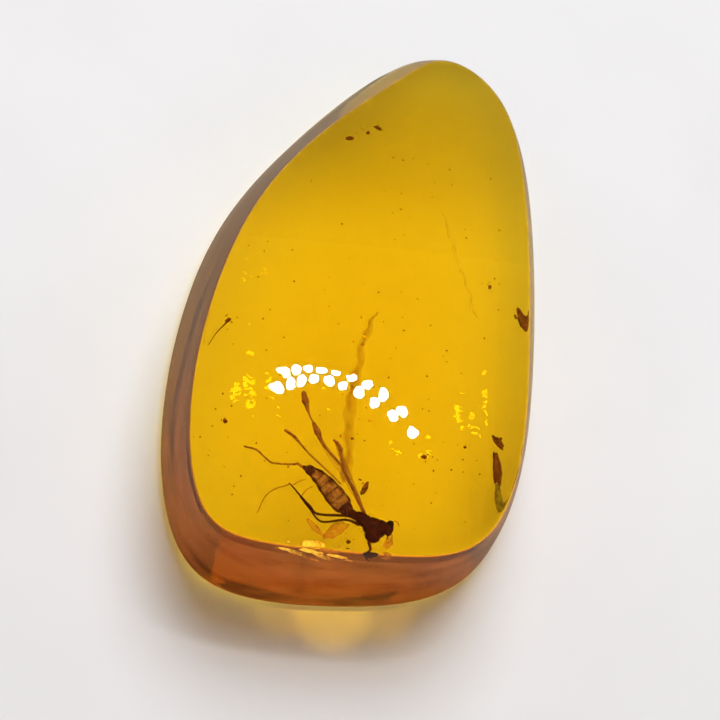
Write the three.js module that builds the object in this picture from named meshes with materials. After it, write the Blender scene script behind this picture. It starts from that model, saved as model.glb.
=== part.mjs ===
// A drop of clear amber, cut flat underneath and polished to a low crown, as it lies on a table.
// Millimetres, +Z up, +Y towards the narrow end. The origin is under the middle of the outline,
// on the plane that the flat base rests on.
import * as THREE from 'three';

// The widest contour seen from above: control points of a closed cubic B-spline, clockwise
// from the narrow end.
const GIRDLE = [
  [2.7, 11.5], [5.6, 10.1], [6.3, 6.1], [6.2, 0.7], [5.6, -3.8], [3.7, -7.0], [-0.1, -7.5],
  [-3.7, -7.5], [-5.6, -6.2], [-6.1, -1.9], [-4.8, 4.0], [-2.2, 7.4], [0.7, 10.3],
];

// The contour where the wall turns over into the crown, point for point with the girdle's.
const SHOULDER = [
  [2.2, 9.9], [4.5, 8.7], [5.0, 5.1], [4.8, 0.0], [4.5, -4.2], [3.1, -7.0], [-0.6, -7.0],
  [-4.2, -6.9], [-5.7, -6.0], [-6.0, -1.9], [-4.4, 3.6], [-1.9, 6.6], [1.0, 8.8],
];

// The side, from the rim of the base out to the girdle, up the wall and over the shoulder:
// control points of an open cubic B-spline. The values are a scale, the share of the way from
// the girdle's contour to the shoulder's, and a height that runs from -1 at the base, through
// 0 at the girdle, to 1 at the crown.
const SIDE = [
  [0.87, 0, -1], [0.94, 0, -1], [1, 0, -0.5], [1, 0.05, 0.1], [1, 0.6, 0.62],
  [1, 0.97, 0.96], [0.99, 1, 1], [0.95, 1, 1], [0.85, 1, 1],
];

const THICKNESS = 5.0;         // from the base to the highest point of the crown
const GIRDLE_HEIGHT = 0.8;     // height of the widest contour at the broad end
const GIRDLE_TAPER = 0.3;      // share of that height lost by the narrow end
const LENGTH_KEPT = 0.45;      // share of its length that a contour keeps however small it is
const CREST = [-0.2, -2.4];    // plan position of the crown's highest point
const CROWN_ACROSS = 0.020;    // fall of the crown per square millimetre across the stone
const CROWN_ALONG = 0.012;     // and along it, close to the crest
const CROWN_EASE = 10.0;       // distance from the crest where that fall has eased by half

const POINTS_AROUND = 72;
const STEPS_PER_SPAN = 3;      // rows of facets in each span of the side
const CROWN_RINGS = 5;         // rings of facets between the shoulder and the crown's middle

// Weights of four neighbouring control points, a share t of the way along a span.
function splineWeights(t) {
  return [
    (1 - t) ** 3 / 6,
    (3 * t ** 3 - 6 * t ** 2 + 4) / 6,
    (-3 * t ** 3 + 3 * t ** 2 + 3 * t + 1) / 6,
    t ** 3 / 6,
  ];
}

function splinePoint(fourPoints, t) {
  const weights = splineWeights(t);
  return fourPoints[0].map((_, axis) => fourPoints.reduce(
    (sum, point, i) => sum + weights[i] * point[axis], 0));
}

function closedSpline(points, count) {
  const curve = [];
  for (let i = 0; i < count; i += 1) {
    const along = (i * points.length) / count;
    const span = Math.floor(along);
    const four = [-1, 0, 1, 2].map((k) => points[(span + k + points.length) % points.length]);
    curve.push(splinePoint(four, along - span));
  }
  return curve;
}

// The end points are repeated, so the curve starts and ends exactly on them.
function openSpline(points, stepsPerSpan) {
  const first = points[0];
  const last = points[points.length - 1];
  const padded = [first, first, ...points, last, last];
  const curve = [];
  for (let span = 0; span < padded.length - 3; span += 1) {
    for (let step = 0; step < stepsPerSpan; step += 1) {
      curve.push(splinePoint(padded.slice(span, span + 4), step / stepsPerSpan));
    }
  }
  curve.push(last);
  return curve;
}

function middle(values) {
  return (Math.min(...values) + Math.max(...values)) / 2;
}

function crownHeight(x, y) {
  const across = (x - CREST[0]) ** 2;
  const along = (y - CREST[1]) ** 2;
  return THICKNESS - CROWN_ACROSS * across - (CROWN_ALONG * along) / (1 + along / CROWN_EASE ** 2);
}

// Height of the girdle under each point of its contour.
function girdleHeights(girdle) {
  const halfLength = Math.max(...girdle.map((point) => point[1]));
  return girdle.map(([, y]) => {
    const towardsTip = (Math.min(Math.max(y / halfLength, -1), 1) + 1) / 2;
    return GIRDLE_HEIGHT * (1 - GIRDLE_TAPER * towardsTip ** 2);
  });
}

// One closed contour of the side, between the girdle's and the shoulder's.
function sideRing(girdle, shoulder, heights, scale, climb, level) {
  const rise = Math.max(level, 0);
  const sink = Math.max(-level, 0);
  return girdle.map(([gx, gy], i) => {
    const [sx, sy] = shoulder[i];
    const x = (gx + (sx - gx) * climb) * scale;
    const y = (gy + (sy - gy) * climb) * (LENGTH_KEPT + (1 - LENGTH_KEPT) * scale);
    return [x, y, heights[i] * (1 - sink) + (crownHeight(x, y) - heights[i]) * rise];
  });
}

function stoneRings() {
  const girdle = closedSpline(GIRDLE, POINTS_AROUND);
  const shoulder = closedSpline(SHOULDER, POINTS_AROUND);
  const heights = girdleHeights(girdle);
  const side = openSpline(SIDE, STEPS_PER_SPAN);
  const widest = Math.max(...side.map((point) => point[0]));
  const rings = side.map(([scale, climb, level]) => sideRing(
    girdle, shoulder, heights, scale / widest, climb, level));
  const edge = rings[rings.length - 1];
  for (let i = 1; i < CROWN_RINGS; i += 1) {
    const share = 1 - i / CROWN_RINGS;
    rings.push(edge.map(([x, y]) => [x * share, y * share, crownHeight(x * share, y * share)]));
  }
  const centre = [0, 1].map((axis) => middle(rings.flat().map((point) => point[axis])));
  return { rings, centre };
}

function stoneGeometry() {
  const { rings, centre } = stoneRings();
  const bottom = [0, 0, 0];
  const top = [0, 0, crownHeight(0, 0)];
  const points = [bottom, ...rings.flat(), top];
  const positions = points.flatMap(([x, y, z]) => [x - centre[0], y - centre[1], z]);

  const at = (ring, i) => 1 + ring * POINTS_AROUND + (i % POINTS_AROUND);
  const topIndex = points.length - 1;
  const faces = [];
  for (let i = 0; i < POINTS_AROUND; i += 1) {
    faces.push(0, at(0, i), at(0, i + 1));
    for (let ring = 0; ring < rings.length - 1; ring += 1) {
      faces.push(at(ring, i), at(ring + 1, i), at(ring + 1, i + 1));
      faces.push(at(ring, i), at(ring + 1, i + 1), at(ring, i + 1));
    }
    faces.push(at(rings.length - 1, i), topIndex, at(rings.length - 1, i + 1));
  }

  const geometry = new THREE.BufferGeometry();
  geometry.setAttribute('position', new THREE.Float32BufferAttribute(positions, 3));
  geometry.setIndex(faces);
  geometry.computeVertexNormals();
  return geometry;
}

const amber = new THREE.Mesh(
  stoneGeometry(),
  new THREE.MeshStandardMaterial({ color: 0xe0a010, roughness: 0.05, metalness: 0 }),
);
amber.name = 'amber';

const stone = new THREE.Group();
stone.add(amber);

export default stone;
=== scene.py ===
"""Looks for a drop of clear amber with a small winged insect sealed in it.

Shapes are worked out in millimetres and turned into metres as each mesh is made. The frame is the
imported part's: +Z up, +Y towards the narrow end, the origin under the middle of the outline.
"""
import math
import random

import bpy
from mathutils import Matrix, Vector, noise


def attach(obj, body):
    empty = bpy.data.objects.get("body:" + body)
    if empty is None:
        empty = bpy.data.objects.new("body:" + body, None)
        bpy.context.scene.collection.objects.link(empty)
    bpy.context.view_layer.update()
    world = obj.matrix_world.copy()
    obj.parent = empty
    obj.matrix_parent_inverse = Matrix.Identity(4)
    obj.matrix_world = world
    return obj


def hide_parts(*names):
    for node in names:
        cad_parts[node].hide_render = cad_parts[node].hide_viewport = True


MM = 0.001

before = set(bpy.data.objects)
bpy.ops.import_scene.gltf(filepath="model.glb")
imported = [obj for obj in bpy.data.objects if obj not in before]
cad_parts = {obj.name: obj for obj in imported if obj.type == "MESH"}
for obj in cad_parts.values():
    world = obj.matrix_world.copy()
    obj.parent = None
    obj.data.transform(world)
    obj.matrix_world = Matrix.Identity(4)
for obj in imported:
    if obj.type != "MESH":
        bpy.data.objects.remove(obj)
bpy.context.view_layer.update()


# ---------------------------------------------------------------- mesh and curve helpers

def add_object(name, data):
    obj = bpy.data.objects.new(name, data)
    bpy.context.scene.collection.objects.link(obj)
    return obj


def add_mesh(name, points, faces, material):
    """A mesh object from points in millimetres."""
    mesh = bpy.data.meshes.new(name)
    mesh.from_pydata([tuple(Vector(point) * MM) for point in points], [], faces)
    mesh.validate()
    for polygon in mesh.polygons:
        polygon.use_smooth = True
    mesh.materials.append(material)
    return add_object(name, mesh)


class Builder:
    """Collects several closed shapes, in millimetres, into one mesh."""

    def __init__(self):
        self.points = []
        self.faces = []

    def add(self, points, faces):
        start = len(self.points)
        self.points.extend(Vector(point) for point in points)
        self.faces.extend([tuple(start + i for i in face) for face in faces])

    def ellipsoid(self, centre, radii, turn=None, around=24, rows=14, shape=None):
        """A ball scaled to radii, turned by a matrix and moved to centre."""
        turn = turn or Matrix.Identity(3)
        points = [Vector((0, 0, -1))]
        for row in range(1, rows):
            polar = math.pi * row / rows
            for i in range(around):
                angle = math.tau * i / around
                flat = math.sin(polar)
                points.append(Vector((flat * math.cos(angle), flat * math.sin(angle),
                                      -math.cos(polar))))
        points.append(Vector((0, 0, 1)))
        if shape:
            points = [shape(point) for point in points]
        scaled = [Vector((p.x * radii[0], p.y * radii[1], p.z * radii[2])) for p in points]
        self.add([turn @ p + Vector(centre) for p in scaled], ring_faces(rows - 1, around))

    def tube(self, path, radii, around=10, flatten=1.0):
        """A closed tube with rounded ends along a path, with a radius at each of its points."""
        path = [Vector(point) for point in path]
        side = None
        points = []
        for i, point in enumerate(path):
            ahead = path[min(i + 1, len(path) - 1)]
            behind = path[max(i - 1, 0)]
            along = (ahead - behind).normalized()
            if side is None:
                side = along.orthogonal().normalized()
            side = (side - along * side.dot(along)).normalized()
            up = along.cross(side)
            for k in range(around):
                angle = math.tau * k / around
                offset = side * math.cos(angle) + up * math.sin(angle)
                offset.z *= flatten
                points.append(point + offset * radii[i])
        first = path[0] - (path[1] - path[0]).normalized() * radii[0] * 0.6
        last = path[-1] + (path[-1] - path[-2]).normalized() * radii[-1] * 0.6
        self.add([first] + points + [last], ring_faces(len(path), around))

    def make(self, name, material):
        return add_mesh(name, self.points, self.faces, material)


def ring_faces(rings, around):
    """Faces of a closed surface: a first point, rings of points, and a last point."""
    faces = []
    last = 1 + rings * around
    for i in range(around):
        after = (i + 1) % around
        faces.append((0, 1 + after, 1 + i))
        for ring in range(rings - 1):
            low = 1 + ring * around
            high = low + around
            faces.append((low + i, low + after, high + after, high + i))
        top = 1 + (rings - 1) * around
        faces.append((top + i, top + after, last))
    return faces


def sheet_faces(rows, columns):
    """Faces of a thin closed sheet: two layers of rows of points, and the rim between them."""
    layer = rows * columns
    faces = []
    for row in range(rows - 1):
        for column in range(columns - 1):
            a = row * columns + column
            b = a + columns
            faces.append((a, a + 1, b + 1, b))
            faces.append((layer + a, layer + b, layer + b + 1, layer + a + 1))
    rim = list(range(columns))
    rim += [row * columns + columns - 1 for row in range(1, rows)]
    rim += [(rows - 1) * columns + column for column in range(columns - 2, -1, -1)]
    rim += [row * columns for row in range(rows - 2, 0, -1)]
    for a, b in zip(rim, rim[1:] + rim[:1]):
        faces.append((b, a, layer + a, layer + b))
    return faces


def smooth_path(points, steps=6):
    """A Catmull-Rom curve through given points."""
    points = [Vector(point) for point in points]
    padded = [points[0] * 2 - points[1]] + points + [points[-1] * 2 - points[-2]]
    path = []
    for i in range(1, len(padded) - 2):
        a, b, c, d = padded[i - 1:i + 3]
        for step in range(steps):
            t = step / steps
            path.append(0.5 * (2 * b + (c - a) * t + (2 * a - 5 * b + 4 * c - d) * t ** 2
                               + (3 * b - a - 3 * c + d) * t ** 3))
    path.append(points[-1])
    return path


def blend_values(values, count):
    """Values spread evenly along count points, with straight steps between them."""
    result = []
    for i in range(count):
        along = i / (count - 1) * (len(values) - 1)
        low = min(int(along), len(values) - 2)
        share = along - low
        result.append(values[low] * (1 - share) + values[low + 1] * share)
    return result


def sideways(line, at):
    """The level direction across a line at one of its points."""
    along = (line[min(at + 1, len(line) - 1)] - line[max(at - 1, 0)]).normalized()
    return Vector((-along.y, along.x, 0)).normalized()


def direction(azimuth, elevation):
    """The unit vector towards a point on the sky. Azimuth 0 is the front, 90 the right."""
    across, up = math.radians(azimuth), math.radians(elevation)
    return Vector((math.sin(across) * math.cos(up), -math.cos(across) * math.cos(up),
                   math.sin(up)))


# ---------------------------------------------------------------- materials

def fill_ramp(node, stops):
    """Gives a colour ramp its stops: a position, then red, green and blue."""
    elements = node.color_ramp.elements
    while len(elements) < len(stops):
        elements.new(0.5)
    for element, (position, colour) in zip(elements, stops):
        element.position = position
        element.color = (*colour, 1.0)
    return node.outputs["Color"]


class Material:
    """A Principled material with short calls to add and link nodes."""

    def __init__(self, name, **values):
        self.data = bpy.data.materials.new(name)
        self.data.use_nodes = True
        self.tree = self.data.node_tree
        self.shader = self.tree.nodes["Principled BSDF"]
        for key, value in values.items():
            self.shader.inputs[key.replace("_", " ")].default_value = value

    def node(self, kind, **settings):
        node = self.tree.nodes.new(kind)
        for key, value in settings.items():
            setattr(node, key, value)
        return node

    def link(self, source, target):
        self.tree.links.new(source, target)

    def place(self):
        """Position on the piece, in metres."""
        return self.node("ShaderNodeTexCoord").outputs["Object"]

    def texture(self, kind, scale, **values):
        """Outputs of a texture node laid over the piece, scaled along each axis."""
        mapping = self.node("ShaderNodeMapping")
        mapping.inputs["Scale"].default_value = scale
        texture = self.node(kind)
        for key, value in {"Scale": 1.0, **values}.items():
            texture.inputs[key].default_value = value
        self.link(self.place(), mapping.inputs["Vector"])
        self.link(mapping.outputs["Vector"], texture.inputs["Vector"])
        return texture.outputs

    def noise(self, size_mm, detail=4.0, roughness=0.55, stretch=(1, 1, 1)):
        scale = [share / (size_mm * MM) for share in stretch]
        return self.texture("ShaderNodeTexNoise", scale, Detail=detail, Roughness=roughness)["Fac"]

    def cells(self, size_mm):
        return self.texture("ShaderNodeTexVoronoi", [1 / (size_mm * MM)] * 3)["Distance"]

    def fade_along(self, start_mm, end_mm, strength=1.0):
        """Nothing at start_mm along the piece, growing smoothly to full strength at end_mm."""
        split = self.node("ShaderNodeSeparateXYZ")
        self.link(self.place(), split.inputs["Vector"])
        fade = self.node("ShaderNodeMapRange", interpolation_type="SMOOTHSTEP")
        fade.inputs["From Min"].default_value = start_mm * MM
        fade.inputs["From Max"].default_value = end_mm * MM
        fade.inputs["To Max"].default_value = strength
        self.link(split.outputs["Y"], fade.inputs["Value"])
        return fade.outputs["Result"]

    def times(self, first, second):
        product = self.node("ShaderNodeMath", operation="MULTIPLY")
        self.link(first, product.inputs[0])
        self.link(second, product.inputs[1])
        return product.outputs[0]

    def ramp(self, source, stops):
        """A colour ramp whose stops hold a position, and a colour or one level for all three."""
        ramp = self.node("ShaderNodeValToRGB")
        self.link(source, ramp.inputs["Fac"])
        return fill_ramp(ramp, [(position, colour if isinstance(colour, tuple) else (colour,) * 3)
                                for position, colour in stops])

    def bump(self, source, height_mm):
        bump = self.node("ShaderNodeBump")
        bump.inputs["Strength"].default_value = 1.0
        bump.inputs["Distance"].default_value = height_mm * MM
        self.link(source, bump.inputs["Height"])
        self.link(bump.outputs["Normal"], self.shader.inputs["Normal"])


AMBER_IOR = 1.54
ABSORPTION_PER_METRE = 650.0
AMBER_TINT = (0.878, 0.785, 0.0)    # share of red, green and blue that a dense layer lets through


def amber_material():
    """Clear resin: plain transmission, with the colour in the depth and faint polishing marks."""
    amber = Material("amber", Base_Color=(1, 1, 1, 1), Roughness=0.0, IOR=AMBER_IOR,
                     Transmission_Weight=1.0)
    amber.bump(amber.noise(1.6, detail=3.0), height_mm=0.0025)
    depth = amber.node("ShaderNodeVolumeAbsorption")
    depth.inputs["Color"].default_value = (*AMBER_TINT, 1.0)
    depth.inputs["Density"].default_value = ABSORPTION_PER_METRE
    amber.link(depth.outputs["Volume"], amber.tree.nodes["Material Output"].inputs["Volume"])
    return amber.data


def dark_cuticle_material():
    """The nearly black skin of the head and thorax, with a fine grain."""
    skin = Material("dark_cuticle", Roughness=0.4, Specular_IOR_Level=0.05)
    tone = skin.noise(0.12, detail=6.0)
    skin.link(skin.ramp(tone, [(0.3, (0.016, 0.002, 0.001)), (0.7, (0.060, 0.009, 0.002))]),
              skin.shader.inputs["Base Color"])
    skin.bump(skin.cells(0.03), height_mm=0.004)
    return skin.data


def eye_material():
    """A compound eye: hundreds of small round facets."""
    eye = Material("compound_eye", Roughness=0.25, Specular_IOR_Level=0.1)
    facets = eye.cells(0.022)
    eye.link(eye.ramp(facets, [(0.0, (0.05, 0.012, 0.006)), (0.6, (0.008, 0.003, 0.002))]),
             eye.shader.inputs["Base Color"])
    eye.bump(facets, height_mm=0.006)
    return eye.data


def brown_cuticle_material(name, light, dark, alpha_low, alpha_high, size_mm=0.16):
    """Thin brown skin that light comes through unevenly."""
    skin = Material(name, Roughness=0.45, Specular_IOR_Level=0.05)
    tone = skin.noise(size_mm, detail=5.0)
    skin.link(skin.ramp(tone, [(0.32, dark), (0.68, light)]), skin.shader.inputs["Base Color"])
    skin.link(skin.ramp(tone, [(0.3, alpha_high), (0.7, alpha_low)]), skin.shader.inputs["Alpha"])
    skin.bump(skin.noise(0.04, detail=3.0), height_mm=0.003)
    return skin.data


def film_material(name, colour, alpha_low, alpha_high, size_mm, stretch=(1, 1, 1), fade=None):
    """A thin stained film in the resin, or a film of painted shade, thick in some places and nearly
    clear in others.
    """
    film = Material(name, Base_Color=(*colour, 1.0), Roughness=0.5, Specular_IOR_Level=0.05)
    tone = film.noise(size_mm, detail=5.0, roughness=0.6, stretch=stretch)
    alpha = film.ramp(tone, [(0.35, alpha_low), (0.7, alpha_high)])
    if fade:
        alpha = film.times(alpha, film.fade_along(*fade))
    film.link(alpha, film.shader.inputs["Alpha"])
    film.bump(tone, height_mm=0.01)
    return film.data


def shade_veil_material():
    """Painted shade: a dim brown film that comes in gradually towards the narrow end and darkens it.
    """
    veil = Material("shade_veil_film", Roughness=0.6, Specular_IOR_Level=0.05)
    tone = veil.noise(2.5)
    veil.link(veil.ramp(tone, [(0.3, (0.22, 0.14, 0.04)), (0.7, (0.10, 0.06, 0.015))]),
              veil.shader.inputs["Base Color"])
    veil.link(veil.fade_along(*SHADE_VEIL_FADE, SHADE_VEIL_STRENGTH), veil.shader.inputs["Alpha"])
    return veil.data


def painted_glint_material():
    """Painted glint: a bright orange-yellow colour on a flat crack in the resin, broken into patches,
    in place of the light that the crack mirrors.
    """
    flake = Material("glint_painted_crack", Roughness=0.35, Specular_IOR_Level=0.2)
    tone = flake.noise(0.3, detail=4.0)
    flake.link(flake.ramp(tone, [(0.3, (0.75, 0.33, 0.02)), (0.7, (0.95, 0.55, 0.05))]),
               flake.shader.inputs["Base Color"])
    flake.link(flake.ramp(tone, [(0.35, 0.1), (0.6, 0.85)]), flake.shader.inputs["Alpha"])
    flake.bump(flake.noise(0.15), height_mm=0.01)
    return flake.data


PAPER_COLOUR = (0.83, 0.83, 0.84)
PAPER_DIM = (0.79, 0.79, 0.80)
# the paper's colour in the stone's reflections: a painted reflection, dim brown
PAPER_PAINTED_REFLECTION = (0.30, 0.25, 0.20)


def floor_material():
    """Plain white paper. Where the stone's polish mirrors it, the paper is painted dim brown: a
    painted reflection.
    """
    paper = Material("paper", Roughness=0.9, Specular_IOR_Level=0.1)
    light = paper.node("ShaderNodeLightPath")
    mirrored = paper.node("ShaderNodeMath", operation="SUBTRACT", use_clamp=True)
    paper.link(light.outputs["Is Glossy Ray"], mirrored.inputs[0])
    paper.link(light.outputs["Is Transmission Ray"], mirrored.inputs[1])
    colour = paper.node("ShaderNodeMixRGB")
    colour.inputs["Color2"].default_value = (*PAPER_PAINTED_REFLECTION, 1.0)
    paper.link(paper.ramp(paper.noise(9.0, detail=3.0), [(0.3, PAPER_DIM), (0.7, PAPER_COLOUR)]),
               colour.inputs["Color1"])
    paper.link(mirrored.outputs["Value"], colour.inputs["Fac"])
    paper.link(colour.outputs["Color"], paper.shader.inputs["Base Color"])
    return paper.data


# ---------------------------------------------------------------- the amber

# The CAD solid's own numbers, which give the same shape here with finer steps.
GIRDLE = [
    (2.7, 11.5), (5.6, 10.1), (6.3, 6.1), (6.2, 0.7), (5.6, -3.8), (3.7, -7.0), (-0.1, -7.5),
    (-3.7, -7.5), (-5.6, -6.2), (-6.1, -1.9), (-4.8, 4.0), (-2.2, 7.4), (0.7, 10.3),
]
SHOULDER = [
    (2.2, 9.9), (4.5, 8.7), (5.0, 5.1), (4.8, 0.0), (4.5, -4.2), (3.1, -7.0), (-0.6, -7.0),
    (-4.2, -6.9), (-5.7, -6.0), (-6.0, -1.9), (-4.4, 3.6), (-1.9, 6.6), (1.0, 8.8),
]
SIDE = [
    (0.87, 0.0, -1.0), (0.94, 0.0, -1.0), (1.0, 0.0, -0.5), (1.0, 0.05, 0.1), (1.0, 0.6, 0.62),
    (1.0, 0.97, 0.96), (0.99, 1.0, 1.0), (0.95, 1.0, 1.0), (0.85, 1.0, 1.0),
]
THICKNESS = 5.0
GIRDLE_HEIGHT = 0.8
GIRDLE_TAPER = 0.3
LENGTH_KEPT = 0.45
CREST = (-0.2, -2.4)
CROWN_ACROSS = 0.020
CROWN_ALONG = 0.012
CROWN_EASE = 10.0

POINTS_AROUND = 360
STEPS_PER_SPAN = 10
CROWN_RINGS = 48
BASE_RINGS = 16
UNEVENNESS = 0.006         # height of the slow waves that hand polishing leaves


def spline_point(four, t):
    """A point on a uniform cubic B-spline, a share t of the way along the span of four points."""
    weights = ((1 - t) ** 3, 3 * t ** 3 - 6 * t ** 2 + 4, -3 * t ** 3 + 3 * t ** 2 + 3 * t + 1,
               t ** 3)
    return [sum(w * value for w, value in zip(weights, axis)) / 6 for axis in zip(*four)]


def closed_spline(points, count):
    curve = []
    for i in range(count):
        along = i * len(points) / count
        span = int(along)
        four = [points[(span + k) % len(points)] for k in (-1, 0, 1, 2)]
        curve.append(spline_point(four, along - span))
    return curve


def open_spline(points, steps):
    padded = [points[0]] * 2 + list(points) + [points[-1]] * 2
    curve = []
    for span in range(len(padded) - 3):
        for step in range(steps):
            curve.append(spline_point(padded[span:span + 4], step / steps))
    curve.append(list(points[-1]))
    return curve


def crown_height(x, y):
    across = (x - CREST[0]) ** 2
    along = (y - CREST[1]) ** 2
    return THICKNESS - CROWN_ACROSS * across - CROWN_ALONG * along / (1 + along / CROWN_EASE ** 2)


GIRDLE_LINE = closed_spline(GIRDLE, POINTS_AROUND)
SHOULDER_LINE = closed_spline(SHOULDER, POINTS_AROUND)


def side_ring(size, climb, level):
    """One ring of the side: its size, how far it has gone over to the shoulder, its height."""
    half_length = max(y for _, y in GIRDLE_LINE)
    rise = max(level, 0.0)
    sink = max(-level, 0.0)
    ring = []
    for (gx, gy), (sx, sy) in zip(GIRDLE_LINE, SHOULDER_LINE):
        towards_tip = (min(max(gy / half_length, -1), 1) + 1) / 2
        girdle = GIRDLE_HEIGHT * (1 - GIRDLE_TAPER * towards_tip ** 2)
        x = (gx + (sx - gx) * climb) * size
        y = (gy + (sy - gy) * climb) * (LENGTH_KEPT + (1 - LENGTH_KEPT) * size)
        ring.append(Vector((x, y, girdle * (1 - sink) + (crown_height(x, y) - girdle) * rise)))
    return ring


def stone_rings():
    side = open_spline(SIDE, STEPS_PER_SPAN)
    widest = max(size for size, _, _ in side)
    rings = [side_ring(size / widest, climb, level) for size, climb, level in side]
    rim = rings[0]
    base = [[Vector((p.x * share, p.y * share, 0.0)) for p in rim]
            for share in (i / BASE_RINGS for i in range(1, BASE_RINGS))]
    shoulder = rings[-1]
    crown = []
    for i in range(1, CROWN_RINGS):
        share = 1 - i / CROWN_RINGS
        crown.append([Vector((p.x * share, p.y * share, crown_height(p.x * share, p.y * share)))
                      for p in shoulder])
    places = [p for ring in rings for p in ring]
    middle = [(min(p[axis] for p in places) + max(p[axis] for p in places)) / 2
              for axis in (0, 1)]
    return base + rings + crown, Vector((*middle, 0.0))


def polish(point):
    """Lays slow waves over everything but the base."""
    wave = noise.noise(point * 0.45) + 0.4 * noise.noise(point * 1.1)
    point.z += UNEVENNESS * (wave - 1.4) * min(point.z / GIRDLE_HEIGHT, 1.0)


def make_amber():
    rings, middle = stone_rings()
    points = [Vector((0, 0, 0))]
    for ring in rings:
        points.extend(ring)
    points.append(Vector((0, 0, crown_height(0, 0))))
    for point in points:
        polish(point)
        point -= middle
    faces = []
    for face in ring_faces(len(rings), POINTS_AROUND):
        faces.append(tuple(reversed(face)))
    stone = add_mesh("amber_stone", points, faces, amber_material())
    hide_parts("amber")
    return stone


# ---------------------------------------------------------------- the insect

# Its parts are placed from the middle of the thorax. +X runs towards the stone's right side and
# +Y towards its narrow end. The head points right and a little forward.
INSECT_AT = Vector((-0.45, -7.79, 4.05))
HEADING = math.radians(-26)         # direction of the body's front, from +X

rng = random.Random(5)


def on_insect(points):
    """Moves points from the insect's own place to the stone's."""
    return [Vector(point) + INSECT_AT for point in points]


def turned(angle, tilt=0.0):
    return Matrix.Rotation(angle, 3, "Z") @ Matrix.Rotation(tilt, 3, "Y")


# The fused balls of the thorax: place, radii, heading, and how finely each is made.
THORAX = [
    ((0.12, -0.03, 0.02), (0.38, 0.3, 0.3), HEADING, 36, 24),
    ((-0.17, 0.15, 0.05), (0.38, 0.2, 0.24), -0.6, 32, 20),
    ((0.09, -0.25, -0.06), (0.25, 0.23, 0.2), HEADING, 28, 16),
    ((0.33, 0.02, 0.04), (0.2, 0.2, 0.22), HEADING, 28, 16),
    ((-0.5, 0.33, 0.0), (0.22, 0.13, 0.13), -0.7, 20, 14),
]


def make_thorax(material):
    """A humped thorax of fused balls, with four low plates on its back and fine hairs."""
    body = Builder()
    turn = turned(HEADING)
    for shift, radii, heading, around, rows in THORAX:
        body.ellipsoid(INSECT_AT + Vector(shift), radii, turned(heading), around, rows)
    for plate in range(4):
        shift = Vector((-0.16 + plate * 0.15, 0.2 - plate * 0.07, 0.3 - abs(plate - 1.5) * 0.04))
        body.ellipsoid(INSECT_AT + shift, (0.08, 0.05, 0.035), turn, 16, 10)
    for _ in range(46):
        angle = rng.uniform(0.1, math.pi - 0.1)
        along = rng.uniform(-0.4, 0.4)
        around_body = Vector((along, 0.25 * math.cos(angle), 0.25 * math.sin(angle)))
        root = turn @ around_body + INSECT_AT
        lean = turn @ Vector((-0.5, math.cos(angle), math.sin(angle)))
        tip = root + lean.normalized() * rng.uniform(0.09, 0.15)
        body.tube([root, (root + tip) / 2, tip], (0.006, 0.004, 0.001), 5)
    return body.make("thorax", material)


def make_head(material):
    head = Builder()
    centre = INSECT_AT + Vector((0.53, -0.02, 0.02))
    turn = turned(HEADING)
    head.ellipsoid(centre, (0.18, 0.2, 0.17), turn, 28, 18)
    head.ellipsoid(centre + Vector((0.03, -0.12, -0.06)), (0.1, 0.1, 0.09), turn, 20, 12)
    for step in range(3):
        angle = step * math.tau / 3
        spot = centre + Vector((0.02 * math.cos(angle), 0.02 + 0.03 * math.sin(angle), 0.165))
        head.ellipsoid(spot, (0.016, 0.016, 0.014), None, 10, 8)
    beak = smooth_path(on_insect([(0.56, -0.2, -0.05), (0.55, -0.27, -0.1), (0.52, -0.32, -0.14)]))
    head.tube(beak, blend_values((0.03, 0.02, 0.008), len(beak)), 10)
    return head.make("head", material)


def make_eyes(material):
    eyes = Builder()
    turn = turned(HEADING + 0.25)
    eyes.ellipsoid(INSECT_AT + Vector((0.6, 0.1, 0.08)), (0.11, 0.12, 0.12), turn, 32, 20)
    eyes.ellipsoid(INSECT_AT + Vector((0.6, -0.06, -0.08)), (0.1, 0.11, 0.1), turn, 32, 20)
    return eyes.make("eyes", material)


def bead_chain(builder, path, radius, bead_length):
    """A jointed antenna: small beads strung along a path."""
    route = smooth_path(path, 14)
    travelled = 0.0
    for before, after in zip(route, route[1:]):
        travelled += (after - before).length
        if travelled >= bead_length:
            travelled = 0.0
            turn = (after - before).to_track_quat("X", "Z").to_matrix()
            builder.ellipsoid(after, (bead_length * 0.55, radius, radius), turn, 10, 8)
            radius *= 0.96


def make_antennae(material):
    antennae = Builder()
    upper = [(0.62, 0.14, 0.1), (0.72, 0.2, 0.14), (0.8, 0.16, 0.18), (0.84, 0.06, 0.2)]
    lower = [(0.62, -0.14, 0.02), (0.68, -0.26, 0.0), (0.62, -0.4, -0.02), (0.5, -0.48, -0.05)]
    for path in (upper, lower):
        bead_chain(antennae, on_insect(path), 0.017, 0.045)
    return antennae.make("antennae", material)


# The abdomen's middle line, and its half width at each of those points.
ABDOMEN_LINE = [(-0.62, 0.4, 0.0), (-0.92, 0.68, 0.0), (-1.2, 1.02, -0.02), (-1.5, 1.35, -0.02),
                (-1.79, 1.56, 0.0), (-2.05, 1.68, 0.02)]
ABDOMEN_HALF_WIDTHS = (0.17, 0.29, 0.27, 0.2, 0.12, 0.05)
ABDOMEN_SEGMENTS = 8
HOOP_STEPS = 28


def abdomen_course():
    line = smooth_path(on_insect(ABDOMEN_LINE), 8)
    return line, blend_values(ABDOMEN_HALF_WIDTHS, len(line))


def abdomen_segment(line, widths, start, end):
    """One ring plate, swollen in its middle and a little wider than the next one's front."""
    count = 9
    points = []
    radii = []
    for i in range(count):
        share = i / (count - 1)
        along = (start + (end - start) * share * 1.12) * (len(line) - 1)
        low = min(int(along), len(line) - 2)
        t = min(along - low, 1.0)
        points.append(line[low].lerp(line[low + 1], t))
        swell = 0.93 + 0.1 * math.sin(math.pi * min(share * 1.15, 1.0)) + 0.03 * share
        radii.append((widths[low] * (1 - t) + widths[low + 1] * t) * swell)
    return points, radii


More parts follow.
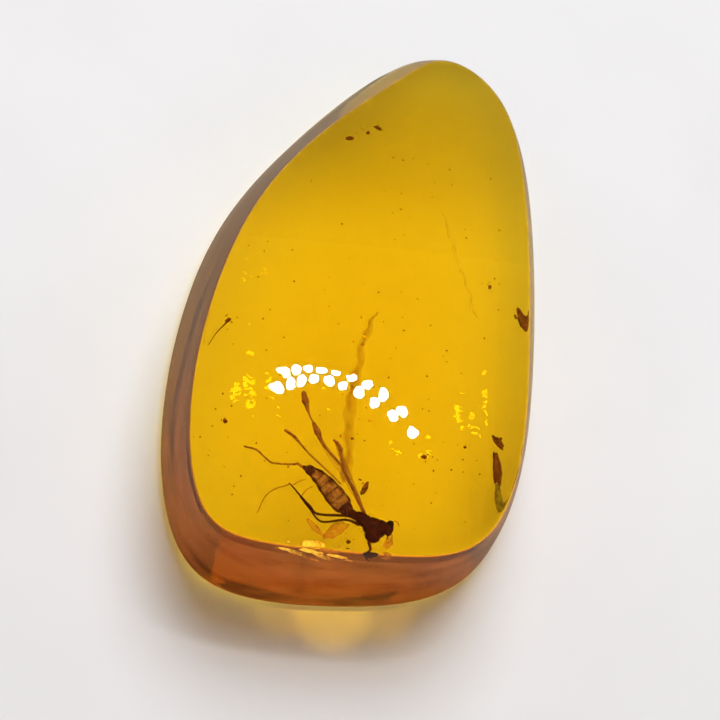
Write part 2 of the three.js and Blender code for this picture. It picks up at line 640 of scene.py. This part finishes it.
def make_abdomen(plate_material, tip_material):
    line, widths = abdomen_course()
    plates = Builder()
    tip = Builder()
    for segment in range(ABDOMEN_SEGMENTS):
        start = segment / ABDOMEN_SEGMENTS
        end = (segment + 1) / ABDOMEN_SEGMENTS
        points, radii = abdomen_segment(line, widths, start, end)
        target = tip if segment in (0, ABDOMEN_SEGMENTS - 2, ABDOMEN_SEGMENTS - 1) else plates
        target.tube(points, radii, 28, flatten=0.8)
    for segment in range(1, ABDOMEN_SEGMENTS):
        at = int(segment / ABDOMEN_SEGMENTS * (len(line) - 1))
        place, width = line[at], widths[at]
        for _ in range(9):
            angle = rng.uniform(0, math.tau)
            outward = Vector((math.cos(angle), math.sin(angle), rng.uniform(-0.4, 0.8))).normalized()
            root = place + outward * width * 0.8
            end_point = place + outward * (width + rng.uniform(0.03, 0.07)) + Vector((-0.04, 0.03, 0))
            tip.tube([root, (root + end_point) / 2, end_point], (0.005, 0.004, 0.001), 5)
    return plates.make("abdomen", plate_material), tip.make("abdomen_tip", tip_material)


def make_abdomen_bands(material):
    """Dark hoops where the plates meet, and a dark line along each flank."""
    line, widths = abdomen_course()
    bands = Builder()
    for segment in range(1, ABDOMEN_SEGMENTS - 1):
        at = int(segment / ABDOMEN_SEGMENTS * (len(line) - 1))
        side = sideways(line, at)
        hoop = []
        for step in range(HOOP_STEPS + 1):
            angle = math.tau * step / HOOP_STEPS
            ring = side * math.cos(angle) + Vector((0, 0, 0.8)) * math.sin(angle)
            hoop.append(line[at] + ring * widths[at])
        bands.tube(hoop, [0.014 + 0.008 * math.sin(step) for step in range(HOOP_STEPS + 1)], 8)
    for hand in (-1, 1):
        flank = []
        for at in range(4, len(line) - 4):
            side = sideways(line, at)
            flank.append(line[at] + side * hand * widths[at] * 0.97 + Vector((0, 0, 0.04)))
        bands.tube(flank, [0.045 + 0.014 * math.sin(i * 0.9) for i in range(len(flank))], 8)
    return bands.make("abdomen_bands", material)


# Each leg: its joints' places, then half thicknesses spread evenly along it.
LEGS = {
    "hind_leg_left": (
        [(-0.19, 0.36, 0.1), (-0.52, 1.06, 0.12), (-0.71, 1.4, 0.12), (-0.85, 1.73, 0.12),
         (-1.05, 1.93, 0.14), (-1.45, 2.36, 0.15), (-1.62, 2.73, 0.15), (-1.76, 3.03, 0.15)],
        (0.06, 0.055, 0.045, 0.04, 0.035, 0.03, 0.045, 0.1, 0.05)),
    "hind_leg_right": (
        [(-0.85, 1.73, 0.12), (-0.9, 2.0, 0.14), (-0.94, 2.27, 0.16), (-1.04, 2.46, 0.16),
         (-1.16, 2.54, 0.16)],
        (0.05, 0.035, 0.065, 0.05, 0.02)),
    "middle_leg_left": (
        [(-0.4, 0.2, 0.0), (-0.72, 0.27, 0.02), (-1.56, 0.26, 0.0), (-1.82, 0.5, 0.0),
         (-2.07, 0.75, 0.0), (-2.43, 1.15, 0.0)],
        (0.055, 0.042, 0.036, 0.032, 0.028, 0.02)),
    "middle_leg_right": (
        [(-0.3, 0.05, -0.1), (-0.72, 0.17, -0.1), (-1.44, 0.06, -0.1), (-1.8, 0.43, -0.1),
         (-2.1, 0.78, -0.08)],
        (0.05, 0.036, 0.03, 0.026, 0.018)),
    "front_leg_left": (
        [(-0.91, 1.21, 0.1), (-1.21, 1.49, 0.12), (-1.84, 2.03, 0.14), (-2.1, 2.3, 0.15),
         (-2.32, 2.54, 0.15), (-2.62, 2.74, 0.15)],
        (0.02, 0.022, 0.025, 0.03, 0.045, 0.04)),
    "front_leg_right": (
        [(0.0, -0.3, -0.15), (0.0, -0.47, -0.15), (0.09, -0.76, -0.15)],
        (0.06, 0.045, 0.03)),
}
# Feet and the spurs beside them, in the same way.
FEET = {
    "foot_hind": ([(-1.76, 3.03, 0.15), (-1.89, 3.3, 0.15), (-2.0, 3.69, 0.15),
                   (-2.06, 3.96, 0.15)],
                  (0.02, 0.025, 0.1, 0.07)),
    "foot_long": ([(-2.02, 1.64, 0.02), (-2.2, 1.75, 0.04), (-2.32, 1.72, 0.04),
                   (-2.79, 1.71, 0.05), (-3.01, 1.74, 0.05), (-3.24, 1.92, 0.05),
                   (-3.45, 2.09, 0.05), (-3.8, 2.16, 0.05)],
                  (0.035, 0.035, 0.03, 0.03, 0.028, 0.026, 0.028, 0.03)),
    "foot_middle": ([(-2.43, 1.15, 0.0), (-2.49, 1.08, 0.0), (-2.87, 0.93, 0.0),
                     (-3.16, 0.67, 0.0), (-3.37, 0.19, 0.0)],
                    (0.02, 0.018, 0.016, 0.015, 0.013)),
    "spur_inner": ([(-2.04, 0.81, -0.05), (-1.92, 0.98, -0.05), (-1.77, 1.08, -0.05)],
                   (0.014, 0.011, 0.006)),
    "spur_outer": ([(-2.31, 1.1, 0.0), (-2.15, 1.22, 0.0), (-1.98, 1.28, 0.0)],
                   (0.014, 0.011, 0.006)),
}


def jointed_leg(builder, path, half_widths, bristles):
    route = smooth_path(on_insect(path), 7)
    radii = blend_values(half_widths, len(route))
    builder.tube(route, radii, 12)
    for point in on_insect(path)[1:-1]:
        nearest = min(range(len(route)), key=lambda i: (route[i] - point).length)
        builder.ellipsoid(point, [radii[nearest] * 1.18] * 3, None, 12, 8)
    for _ in range(bristles):
        at = rng.randrange(1, len(route) - 1)
        along = (route[at + 1] - route[at - 1]).normalized()
        outward = along.orthogonal().normalized()
        outward.rotate(Matrix.Rotation(rng.uniform(0, math.tau), 3, along))
        root = route[at] + outward * radii[at] * 0.7
        tip = root + (outward + along * 0.9).normalized() * rng.uniform(0.04, 0.075)
        builder.tube([root, (root + tip) / 2, tip], (0.0045, 0.003, 0.001), 4)


def make_legs(dark_material, brown_material):
    pieces = []
    for name, (path, half_widths) in LEGS.items():
        leg = Builder()
        jointed_leg(leg, path, half_widths, bristles=26)
        dark = name in ("middle_leg_left", "middle_leg_right", "front_leg_right")
        pieces.append(leg.make(name, dark_material if dark else brown_material))
    for name, (path, half_widths) in FEET.items():
        foot = Builder()
        jointed_leg(foot, path, half_widths, bristles=10)
        end = on_insect(path)[-1]
        back = on_insect(path)[-2]
        along = (end - back).normalized()
        side = along.cross(Vector((0, 0, 1))).normalized()
        for hand in (-1, 1):
            claw = [end, end + along * 0.03 + side * hand * 0.02, end + along * 0.05]
            foot.tube(claw, (0.007, 0.005, 0.002), 6)
        pieces.append(foot.make(name, brown_material))
    return pieces


# Wings, folded back over the body: the leading edge, then the trailing edge.
WINGS = {
    "wing_left": (
        [(-0.2, 0.4, 0.2), (-0.55, 1.1, 0.22), (-0.85, 1.68, 0.22), (-1.3, 2.25, 0.22),
         (-1.66, 2.8, 0.22)],
        [(-0.26, 0.38, 0.2), (-0.66, 1.05, 0.2), (-1.02, 1.6, 0.2), (-1.45, 2.22, 0.2),
         (-1.68, 2.8, 0.22)]),
    "wing_right": (
        [(-0.18, 0.4, 0.14), (-0.42, 1.02, 0.15), (-0.66, 1.6, 0.16), (-0.88, 2.15, 0.17),
         (-1.1, 2.56, 0.18)],
        [(-0.24, 0.4, 0.12), (-0.54, 1.08, 0.14), (-0.82, 1.64, 0.15), (-1.02, 2.15, 0.17),
         (-1.14, 2.56, 0.18)]),
}
WING_ROWS = 30
WING_COLUMNS = 8
WING_THICKNESS = 0.006


def wing_point(lead, trail, along, across):
    """A point of the wing with small corrugations from the root outwards."""
    at = along * (len(lead) - 1)
    low = min(int(at), len(lead) - 2)
    front = lead[low].lerp(lead[low + 1], at - low)
    back = trail[low].lerp(trail[low + 1], at - low)
    point = front.lerp(back, across)
    point.z += 0.015 * math.sin(across * math.pi * 5) * math.sin(math.pi * min(along * 1.2, 1.0))
    return point


def make_wing(name, edges, film, vein_material):
    lead = smooth_path(on_insect(edges[0]), 8)
    trail = smooth_path(on_insect(edges[1]), 8)
    points = []
    for side in (0.5, -0.5):
        for row in range(WING_ROWS + 1):
            for column in range(WING_COLUMNS + 1):
                point = wing_point(lead, trail, row / WING_ROWS, column / WING_COLUMNS)
                points.append(point + Vector((0, 0, side * WING_THICKNESS)))
    faces = sheet_faces(WING_ROWS + 1, WING_COLUMNS + 1)
    membrane = add_mesh(name, points, faces, film)
    veins = Builder()
    for across, thick in ((0.0, 0.01), (0.3, 0.006), (0.6, 0.005), (1.0, 0.006)):
        route = [wing_point(lead, trail, i / 24, across) for i in range(25)]
        veins.tube(route, blend_values((thick, thick, thick * 0.5), 25), 8)
    for along, first, second in ((0.35, 0.0, 0.3), (0.5, 0.3, 0.6), (0.66, 0.6, 1.0)):
        cross = [wing_point(lead, trail, along + 0.02 * i, first + (second - first) * i / 4)
                 for i in range(5)]
        veins.tube(cross, [0.005] * 5, 6)
    return membrane, veins.make(name + "_veins", vein_material)


def make_insect():
    dark = dark_cuticle_material()
    brown = brown_cuticle_material("brown_cuticle", (0.36, 0.10, 0.012), (0.12, 0.028, 0.004),
                                   0.7, 0.95)
    plates = brown_cuticle_material("thin_cuticle", (0.5, 0.17, 0.03), (0.05, 0.010, 0.002),
                                    0.45, 1.0, 0.22)
    tip = brown_cuticle_material("tip_cuticle", (0.09, 0.018, 0.004), (0.03, 0.006, 0.002),
                                 0.85, 1.0)
    film = film_material("wing_film", (0.35, 0.1, 0.01), 0.06, 0.28, 0.3)
    dark_pieces = [make_thorax(dark), make_head(dark), make_eyes(eye_material())]
    abdomen, abdomen_tip = make_abdomen(plates, tip)
    brown_pieces = [abdomen, abdomen_tip, make_abdomen_bands(tip), make_antennae(brown)]
    brown_pieces += make_legs(dark, brown)
    wing_pieces = []
    for name, edges in WINGS.items():
        membrane, veins = make_wing(name, edges, film, brown)
        wing_pieces.append(membrane)
        brown_pieces.append(veins)
    return dark_pieces + brown_pieces + wing_pieces


# ---------------------------------------------------------------- debris and flaws

# Specks of bark and soil: place, then length, width and heading in degrees.
SPECKS = [
    ((1.42, -5.17, 2.6), 0.17, 0.12, 20),
    ((3.55, 0.5, 2.6), 0.14, 0.1, 60),
    ((-0.78, 5.02, 2.6), 0.24, 0.12, 10),
    ((0.09, 5.47, 2.6), 0.3, 0.1, -20),
    ((-0.2, 5.3, 2.5), 0.14, 0.1, 40),
    ((-4.47, -1.37, 2.6), 0.2, 0.12, 35),
    ((-4.52, -4.54, 2.6), 0.14, 0.12, 0),
    ((2.68, -4.74, 2.6), 0.1, 0.08, 0),
    ((4.56, -0.46, 2.6), 0.75, 0.24, 100),
    ((3.73, -4.5, 2.6), 0.5, 0.2, -50),
    ((-0.46, -6.42, 3.1), 0.42, 0.15, 62),
    ((-0.93, -8.1, 3.1), 0.13, 0.1, 20),
    ((-0.83, -4.9, 3.1), 0.08, 0.07, 0),
    ((1.85, -8.55, 2.4), 0.5, 0.1, 5),
    ((1.9, -8.5, 1.8), 0.14, 0.1, 70),
    ((0.26, -8.9, 2.1), 0.1, 0.08, 0),
    ((0.4, -8.9, 1.5), 0.16, 0.08, 20),
    ((0.15, -8.9, 1.2), 0.14, 0.08, -20),
]


def ragged(amount, wave, seed):
    """A shape for Builder.ellipsoid, pushed in and out by slow noise."""
    return lambda point: point * (1 + amount * noise.noise(point * wave + seed))


def rough_lump(builder, centre, length, width, heading):
    seed = Vector((rng.uniform(0, 50), rng.uniform(0, 50), rng.uniform(0, 50)))
    turn = turned(math.radians(heading), rng.uniform(-0.4, 0.4))
    builder.ellipsoid(centre, (length / 2, width / 2, width / 2), turn, 20, 12,
                      ragged(0.55, 1.6, seed))


def make_specks(material):
    specks = Builder()
    for centre, length, width, heading in SPECKS:
        rough_lump(specks, centre, length, width, heading)
        for _ in range(3):
            crumb = Vector(centre) + Vector((rng.gauss(0, 0.14), abs(rng.gauss(0, 0.14)),
                                             rng.gauss(0, 0.1)))
            rough_lump(specks, crumb, width * 0.35, width * 0.3, rng.uniform(0, 180))
    return specks.make("specks", material)


def make_dust(material):
    """Very fine grains spread through the stone."""
    dust = Builder()
    for _ in range(150):
        corner = rng.randrange(len(SHOULDER))
        rim = Vector(SHOULDER[corner - 1]).lerp(Vector(SHOULDER[corner]), rng.random())
        place = (*(rim * 0.85 * math.sqrt(rng.random()) - Vector((0.2, 1.8))),
                 rng.uniform(1.2, 3.4))
        size = rng.uniform(0.012, 0.035)
        dust.ellipsoid(place, (size, size * 0.7, size * 0.6), turned(rng.uniform(0, 3)), 8, 6)
    return dust.make("dust", material)


def make_fibre(material):
    fibre = Builder()
    route = smooth_path([(-4.4, -1.32, 2.6), (-4.65, -1.6, 2.6), (-4.85, -1.85, 2.6),
                         (-5.05, -2.2, 2.6)], 10)
    fibre.tube(route, blend_values((0.03, 0.016, 0.01), len(route)), 8)
    return fibre.make("fibre", material)


SEAM_LINE = [(0.0, -0.7, 2.6), (-0.21, -1.17, 2.65), (-0.45, -1.84, 2.7), (-0.66, -2.96, 2.7),
             (-0.75, -3.6, 2.65), (-0.84, -4.85, 2.6), (-0.95, -6.1, 2.6)]
SEAM_HALF_WIDTHS = (0.04, 0.07, 0.09, 0.13, 0.14, 0.15, 0.12)


def ribbon(path, half_widths, thickness, wobble):
    """A thin closed strip that lies flat, with an uneven edge."""
    route = smooth_path(path, 12)
    widths = blend_values(half_widths, len(route))
    points = []
    for i, point in enumerate(route):
        side = sideways(route, i)
        shift = side * wobble * noise.noise(point * 2.3)
        width = widths[i] * (1 + 0.5 * noise.noise(point * 3.1 + Vector((9, 0, 0))))
        for across, up in ((-1, 0), (-0.4, 1), (0.4, 1), (1, 0), (0.4, -1), (-0.4, -1)):
            points.append(point + shift + side * across * width + Vector((0, 0, up * thickness)))
    first = route[0] - (route[1] - route[0]) * 0.5
    last = route[-1] + (route[-1] - route[-2]) * 0.5
    return [first] + points + [last], ring_faces(len(route), 6)


def make_seams(material, faint_material):
    seam = Builder()
    for layer in range(4):
        lowered = [Vector(point) - Vector((0, 0, 0.06 * layer)) for point in SEAM_LINE]
        half_widths = [width * (1.25 - 0.3 * layer) for width in SEAM_HALF_WIDTHS]
        seam.add(*ribbon(lowered, half_widths, 0.015, 0.12))
    faint = Builder()
    faint.add(*ribbon([(2.1, 2.8, 2.6), (2.43, 1.63, 2.6), (2.75, 0.5, 2.6), (3.08, -0.58, 2.6)],
                      (0.02, 0.05, 0.05, 0.03), 0.01, 0.1))
    return seam.make("flow_seam", material), faint.make("faint_seam", faint_material)


def crack(builder, centre, radius, tilt, heading, stretch):
    """A round crack as thin as paper, with a ragged edge."""
    seed = Vector((rng.uniform(0, 50), rng.uniform(0, 50), 0))
    turn = turned(math.radians(heading), math.radians(tilt))
    builder.ellipsoid(centre, (radius, radius * stretch, 0.008), turn, 28, 10,
                      ragged(0.5, 1.7, seed))


CRACKS = [
    ((-3.0, -8.52, 4.15), 0.26, 10, 6), ((-2.6, -8.58, 4.05), 0.36, 16, -6),
    ((-2.2, -8.52, 4.2), 0.4, 12, 4), ((-1.8, -8.6, 4.0), 0.38, 20, -8),
    ((-1.4, -8.56, 4.1), 0.34, 14, 5), ((-1.1, -8.6, 3.95), 0.22, 18, -5),
    ((-2.1, -8.66, 3.8), 0.28, 22, 3),
]


def make_cracks(material):
    # the cracks' bright colour is a painted glint
    cracks = Builder()
    for centre, radius, tilt, heading in CRACKS:
        crack(cracks, centre, radius, tilt, heading, 0.34)
    return cracks.make("cracks_with_painted_glint", material)


def make_stains(material):
    """Brown films around the insect, on the side of the bright cracks and under its head."""
    stains = Builder()
    crack(stains, INSECT_AT + Vector((-1.0, -0.16, -0.2)), 0.42, 12, 38, 0.42)
    crack(stains, INSECT_AT + Vector((0.58, -0.42, -0.1)), 0.24, 20, 60, 0.5)
    strip = on_insect([(-1.87, 0.12, -0.1), (-1.64, -0.14, -0.1), (-1.31, -0.39, -0.15)])
    stains.add(*ribbon(strip, (0.05, 0.09, 0.04), 0.01, 0.04))
    return stains.make("stains", material)


def make_shard(material, pale_material):
    """A dark chip by the right side, with a thin olive end."""
    dark = Builder()
    rough_lump(dark, (3.68, -5.3, 2.6), 1.0, 0.3, 94)
    pale = Builder()
    rough_lump(pale, (3.72, -6.2, 2.6), 0.95, 0.24, 91)
    return dark.make("shard", material), pale.make("shard_end", pale_material)


# A thin sheet of painted shade that darkens the narrow end.
VEIL_ROWS = 10
VEIL_SIZE = 0.93                    # its size beside the stone's own outline
VEIL_START = 3.3                    # how near the narrow end it begins
SHADE_VEIL_FADE = (1.2, 6.8)              # where it begins to show, and where it is full
SHADE_VEIL_STRENGTH = 0.19
VEIL_LEVEL = 0.4                    # its height, as a share of the way from girdle to crown
VEIL_THICKNESS = 0.01


def make_shade_veil(material):
    """Painted shade across the narrow end, as a thin closed sheet."""
    middle = stone_rings()[1]
    ring = side_ring(VEIL_SIZE, VEIL_LEVEL, VEIL_LEVEL)
    half = POINTS_AROUND // 2
    outline = [p - middle for p in ring[half:] + ring[:half] if p.y > VEIL_START]
    points = []
    for lift in (0.0, VEIL_THICKNESS):
        for row in range(VEIL_ROWS):
            for i, point in enumerate(outline):
                start = outline[0].lerp(outline[-1], i / (len(outline) - 1))
                points.append(point.lerp(start, row / (VEIL_ROWS - 1) * 0.999)
                              + Vector((0, 0, lift)))
    return add_mesh("veil", points, sheet_faces(VEIL_ROWS, len(outline)), material)


# A thin sheet of painted shade behind the broad end's wall.
SKIN_ROWS = 12
SKIN_SIZE = 0.97                    # its size beside the stone's own outline
SKIN_LEVELS = (-0.85, 0.82)         # from just above the base to near the shoulder
SKIN_END = 3.5                      # how far back from the broad end it reaches
SKIN_FADE = (0.5, -7.5)             # where it begins to show, and where it is full
SKIN_THICKNESS = 0.003              # as a share of the outline's size, like the tuck
SKIN_TUCK = 0.05                    # how far its lower edge is drawn in


def make_shade_skin(material):
    """Painted shade just behind the broad end's wall, as a thin closed sheet: a mottled brown film
    that darkens and reddens the wall's band.
    """
    middle = stone_rings()[1]
    kept = [i for i, (_, y) in enumerate(GIRDLE_LINE) if y < SKIN_END]
    points = []
    for size in (SKIN_SIZE, SKIN_SIZE - SKIN_THICKNESS):
        for row in range(SKIN_ROWS):
            share = row / (SKIN_ROWS - 1)
            level = SKIN_LEVELS[0] + (SKIN_LEVELS[1] - SKIN_LEVELS[0]) * share
            tuck = SKIN_TUCK * (1 - share) ** 4
            ring = side_ring(size - tuck, max(level, 0.0), level)
            points.extend(ring[i] - middle for i in kept)
    return add_mesh("skin_shade", points, sheet_faces(SKIN_ROWS, len(kept)), material)


def make_bubbles(material):
    """A few tiny round bubbles along the seam."""
    bubbles = Builder()
    for _ in range(16):
        share = rng.random()
        at = smooth_path(SEAM_LINE, 12)[int(share * 70)]
        spot = at + Vector((rng.gauss(0, 0.35), rng.gauss(0, 0.3), rng.uniform(-0.9, 0.6)))
        size = rng.uniform(0.018, 0.05)
        bubbles.ellipsoid(spot, (size, size, size), None, 16, 12)
    return bubbles.make("bubbles", material)


def make_inclusions():
    bark = brown_cuticle_material("bark", (0.3, 0.08, 0.01), (0.06, 0.014, 0.003), 0.65, 1.0, 0.08)
    seam_film = film_material("seam_film", (0.42, 0.13, 0.015), 0.03, 0.16, 0.35, (1, 0.5, 1))
    faint_film = film_material("faint_film", (0.4, 0.14, 0.02), 0.0, 0.2, 0.5)
    stain_film = film_material("stain_film", (0.45, 0.12, 0.01), 0.2, 0.65, 0.3)
    # painted shade: the brown film behind the broad end's wall
    shade_skin_film = film_material("shade_skin_film", (0.62, 0.17, 0.02), 0.04, 0.45, 1.1, (0.5, 0.5, 1.4),
                              SKIN_FADE)
    # painted glint: the bright colour of the cracks and bubbles stands in for the light they mirror
    bright = painted_glint_material()
    olive = brown_cuticle_material("olive_chip", (0.3, 0.2, 0.03), (0.1, 0.07, 0.01), 0.3, 0.7)
    debris = [make_specks(bark), make_dust(bark), make_fibre(bark), *make_shard(bark, olive)]
    flaws = [*make_seams(seam_film, faint_film), make_stains(stain_film), make_cracks(bright),
             make_bubbles(bright), make_shade_veil(shade_veil_material()), make_shade_skin(shade_skin_film)]
    return debris + flaws


# ---------------------------------------------------------------- floor, camera and light

CAMERA_AZIMUTH = -36
CAMERA_ELEVATION = 65
CAMERA_DISTANCE = 110.0
VIEW_WIDTH = 22.1                   # millimetres across the picture at the stone
LOOK_AT = Vector((-0.17, -1.79, 2.2))


FLOOR_SIZE = 320.0
FLOOR_GAP = 0.02                    # how far the floor lies below the stone's base


def make_floor():
    bpy.ops.mesh.primitive_plane_add(size=FLOOR_SIZE * MM, location=(0, 0, -FLOOR_GAP * MM))
    floor = bpy.context.object
    floor.name = "floor"
    floor.data.materials.append(floor_material())


def stand(obj, place, right, up, back):
    """Puts a camera or a lamp at a place in millimetres, looking away from back."""
    axes = Matrix((right, up, back)).transposed().to_4x4()
    obj.matrix_world = Matrix.Translation(place * MM) @ axes


def make_camera():
    """Looks down at the stone, turned so that its long axis stands upright in the picture."""
    camera = bpy.data.cameras.new("camera")
    camera.sensor_width = 36
    camera.lens = 36 * CAMERA_DISTANCE / VIEW_WIDTH
    camera.clip_start = 0.001
    obj = add_object("camera", camera)
    back = direction(CAMERA_AZIMUTH, CAMERA_ELEVATION)
    up = Vector((0, 1, 0))
    up = (up - back * up.dot(back)).normalized()
    right = up.cross(back)
    stand(obj, LOOK_AT + back * CAMERA_DISTANCE, right, up, back)
    bpy.context.scene.camera = obj


def add_lamp(name, place, width, height, power, aim=None, spread=180.0):
    """A round or oval lamp at a place measured from LOOK_AT. The camera, mirrors and clear
    pieces don't show it."""
    lamp = bpy.data.lights.new(name, "AREA")
    lamp.shape = "ELLIPSE"
    lamp.size = width * MM
    lamp.size_y = height * MM
    lamp.energy = power
    obj = add_object(name, lamp)
    lamp.spread = math.radians(spread)
    back = (LOOK_AT + place - (aim or LOOK_AT)).normalized()
    across = Vector((0, 1, 0)).cross(back).normalized()
    stand(obj, LOOK_AT + place, across, back.cross(across), back)
    obj.visible_camera = False
    obj.visible_glossy = False
    obj.visible_transmission = False
    return obj


def above(across, along):
    """The unit vector that points this far across and along, and for the rest up."""
    return Vector((across, along, math.sqrt(1 - across ** 2 - along ** 2)))


LAMP_DISTANCE = 200.0
KEY_DIRECTION = direction(176, 60)
KEY_SIZE = 140.0
KEY_POWER = 0.338
KEY_COLOUR = (0.89, 1.0, 1.10)
STRING_LAMPS = 19
STRING_LAMP_SIZE = (5.7, 3.4)
STRING_LAMP_POWER = 0.0032
# Small lamps whose light goes in through the crown and comes back off the flat base, as yellow
# sparks: how far across and along each one is, then where on the crown it aims. These numbers are
# a ray tracing program's output.
SPARKS = [
    (0.337, 0.293, (-2.3, -1.2)), (0.351, 0.298, (-2.7, -1.7)), (0.339, 0.297, (-2.3, -1.6)),
    (0.336, 0.302, (-2.2, -2.1)), (0.313, 0.304, (-1.5, -2.3)), (0.319, 0.295, (-1.7, -1.4)),
    (0.265, 0.299, (0.0, -2.0)), (0.208, 0.310, (1.8, -3.0)), (0.179, 0.310, (2.7, -3.1)),
    (0.146, 0.292, (3.6, -1.6)), (0.137, 0.300, (3.9, -2.3)), (0.132, 0.304, (4.0, -2.7)),
    (0.121, 0.295, (4.3, -2.0)), (0.116, 0.299, (4.5, -2.4)), (0.150, 0.299, (3.5, -2.3)),
    (0.119, 0.290, (4.4, -1.5)),
]
SPARK_POWER = 2e-8
SPARK_SIZE = (1.5, 0.5)
SPARK_SPREAD = 2.0
SPARK_AIM_HEIGHT = 4.8


def make_lamps():
    """A soft key behind the stone, and the string of small lamps that its crown mirrors."""
    key = add_lamp("key", KEY_DIRECTION * LAMP_DISTANCE, KEY_SIZE, KEY_SIZE, KEY_POWER)
    key.data.color = KEY_COLOUR
    for i in range(STRING_LAMPS):
        share = i / (STRING_LAMPS - 1)
        across = -0.020 + 0.271 * share + 0.090 * share ** 2
        along = 0.348 - 0.141 * (share - 0.2) ** 2 + 0.06 * across + (0.018 if i % 2 else 0.0)
        place = above(across, along) * LAMP_DISTANCE
        lamp = add_lamp(f"string_lamp_{i}", place, *STRING_LAMP_SIZE, STRING_LAMP_POWER)
        lamp.visible_glossy = True
    for i, (across, along, aim) in enumerate(SPARKS):
        spark = add_lamp(f"spark_{i}", above(across, along) * LAMP_DISTANCE, *SPARK_SIZE,
                         SPARK_POWER, Vector((*aim, SPARK_AIM_HEIGHT)), SPARK_SPREAD)
        spark.visible_transmission = True


# Light that the stone's front gathers onto the paper: place, reach and power.
GATHERED_HEIGHT = 60.0
GATHERED_COLOUR = (1.0, 0.56, 0.02)
GATHERED_LIGHT = [((-0.5, -9.3), 1.5, 0.06), ((-2.0, -9.1), 1.3, 0.026), ((1.1, -9.1), 1.3, 0.026)]


def make_gathered_light():
    """Soft amber spots in front of the stone, for the bright fringe that clear resin casts."""
    for i, ((x, y), reach, power) in enumerate(GATHERED_LIGHT):
        lamp = bpy.data.lights.new(f"gathered_{i}", "SPOT")
        lamp.energy = power
        lamp.color = GATHERED_COLOUR
        lamp.spot_size = 2 * math.atan(reach / GATHERED_HEIGHT)
        lamp.spot_blend = 1.0
        lamp.shadow_soft_size = 0.0
        obj = add_object(f"gathered_{i}", lamp)
        obj.location = Vector((x, y, GATHERED_HEIGHT)) * MM


class World:
    """Node calls for the room's light."""

    def __init__(self):
        world = bpy.data.worlds.new("room")
        world.use_nodes = True
        bpy.context.scene.world = world
        self.tree = world.node_tree
        self.background = self.tree.nodes["Background"]
        self.sky = self.tree.nodes.new("ShaderNodeTexCoord").outputs["Generated"]

    def link(self, source, target):
        self.tree.links.new(source, target)

    def math(self, operation, first, second, use_clamp=False):
        node = self.tree.nodes.new("ShaderNodeMath")
        node.operation = operation
        node.use_clamp = use_clamp
        for socket, value in zip(node.inputs, (first, second)):
            if isinstance(value, float):
                socket.default_value = value
            else:
                self.link(value, socket)
        return node.outputs["Value"]

    def glow(self, towards, stops, tint=(1.0, 1.0, 1.0)):
        """Brightness by the cosine of the angle from a direction, between -1 and 1."""
        dot = self.tree.nodes.new("ShaderNodeVectorMath")
        dot.operation = "DOT_PRODUCT"
        dot.inputs[1].default_value = towards
        self.link(self.sky, dot.inputs[0])
        place = self.math("MULTIPLY", self.math("ADD", dot.outputs["Value"], 1.0), 0.5)
        ramp = self.tree.nodes.new("ShaderNodeValToRGB")
        self.link(place, ramp.inputs["Fac"])
        return fill_ramp(ramp, [((cosine + 1) / 2, [level * share for share in tint])
                                for cosine, level in stops])

    def choose(self, factor, usual, other):
        node = self.tree.nodes.new("ShaderNodeMixRGB")
        self.link(factor, node.inputs["Fac"])
        self.link(usual, node.inputs["Color1"])
        self.link(other, node.inputs["Color2"])
        return node.outputs["Color"]


def make_world():
    """The room: dim where the polish mirrors it, bright where light goes through the stone to the
    paper under it, and a plain pale backdrop where the camera sees it."""
    world = World()
    up = Vector((0, 0, 1))
    fill = world.glow(up, [(0, 0.2), (1, 0.25)], tint=(1.4, 1.0, 0.7))
    through = world.glow(direction(172, 78), [(-0.2, 0.95), (0.3, 2.6), (0.8, 5.05), (0.95, 6.2)])
    inside = world.glow(direction(180, 20), [(-0.2, 0.3), (0.3, 0.7), (0.7, 2.0), (1, 3.0)],
                        tint=(1.0, 0.62, 0.5))
    mirrored = world.glow(up, [(0, 0.06), (1, 0.02)])
    backdrop = world.glow(up, [(0, 0.82), (1, 0.74)])
    path = world.tree.nodes.new("ShaderNodeLightPath").outputs
    refracted = path["Is Transmission Ray"]
    from_paper = world.math("GREATER_THAN", path["Diffuse Depth"], 0.5)
    colour = world.choose(world.math("MULTIPLY", refracted, from_paper), fill, through)
    colour = world.choose(world.math("SUBTRACT", refracted, from_paper, True), colour, inside)
    colour = world.choose(world.math("SUBTRACT", path["Is Glossy Ray"], refracted, True), colour,
                          mirrored)
    colour = world.choose(path["Is Camera Ray"], colour, backdrop)
    world.link(colour, world.background.inputs["Color"])


def set_view():
    scene = bpy.context.scene
    scene.view_settings.view_transform = "Standard"
    for name in ("max_bounces", "transmission_bounces", "glossy_bounces"):
        setattr(scene.cycles, name, 32)
    scene.cycles.transparent_max_bounces = 32


# ---------------------------------------------------------------- the whole

pieces = [make_amber()] + make_insect() + make_inclusions()
for piece in pieces:
    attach(piece, "root")
make_floor()
make_camera()
make_lamps()
make_gathered_light()
make_world()
set_view()
